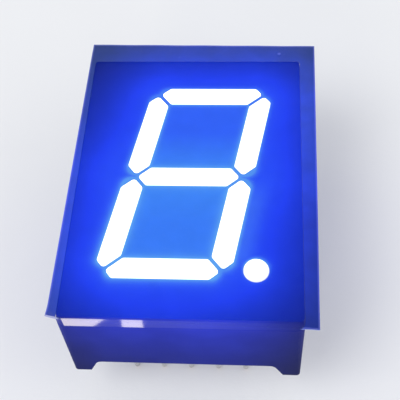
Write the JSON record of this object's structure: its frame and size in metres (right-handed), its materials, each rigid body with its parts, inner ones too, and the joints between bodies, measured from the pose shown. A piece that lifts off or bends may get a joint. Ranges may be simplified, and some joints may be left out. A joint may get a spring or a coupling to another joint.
{
  "type": "seven segment display",
  "caption": "Single-digit light-bar display with a decimal point: slanted segments in a moulded reflector on through-hole pins, with its clear protective film on.",
  "frame": {"origin": "centre of the ten-pin pattern, on the plane that the corner feet stand on", "axes": "+Z out of the face, +X to the right of the digit, +Y towards the top of the digit"},
  "size_m": [0.0218, 0.0296, 0.0156],
  "materials": {
    "housing": "fine moulded satin, slate, tinted by the light inside",
    "print": "dark printed ink, satin",
    "board": "glass-filled board, satin lacquer",
    "back_resin": "cast resin, glossy, milky",
    "solder": "bright solder",
    "film": "clear glossy film",
    "segment_resin": "diffusing resin, lit from behind",
    "pin": "tinned, bright",
    "chip": "polished chip",
    "bond_wire": "fine gold wire"
  },
  "bodies": {
    "root": {"reflector_housing": "housing", "face_print": "print", "circuit_board": "board", "back_resin": "back_resin", "solder_joints": "solder", "protective_film": "film", "segment_a": "segment_resin", "segment_b": "segment_resin", "segment_c": "segment_resin", "segment_d": "segment_resin", "segment_e": "segment_resin", "segment_f": "segment_resin", "segment_g": "segment_resin", "decimal_point": "segment_resin", "pin_1": "pin", "pin_2": "pin", "pin_3": "pin", "pin_4": "pin", "pin_5": "pin", "pin_6": "pin", "pin_7": "pin", "pin_8": "pin", "pin_9": "pin", "pin_10": "pin", "led_chip_a1": "chip", "led_chip_a2": "chip", "led_chip_b1": "chip", "led_chip_b2": "chip", "led_chip_c1": "chip", "led_chip_c2": "chip", "led_chip_d1": "chip", "led_chip_d2": "chip", "led_chip_e1": "chip", "led_chip_e2": "chip", "led_chip_f1": "chip", "led_chip_f2": "chip", "led_chip_g1": "chip", "led_chip_g2": "chip", "led_chip_dot1": "chip", "bond_wires_a": "bond_wire", "bond_wires_b": "bond_wire", "bond_wires_c": "bond_wire", "bond_wires_d": "bond_wire", "bond_wires_e": "bond_wire", "bond_wires_f": "bond_wire", "bond_wires_g": "bond_wire", "bond_wires_dot": "bond_wire"}
  },
  "joints": []
}
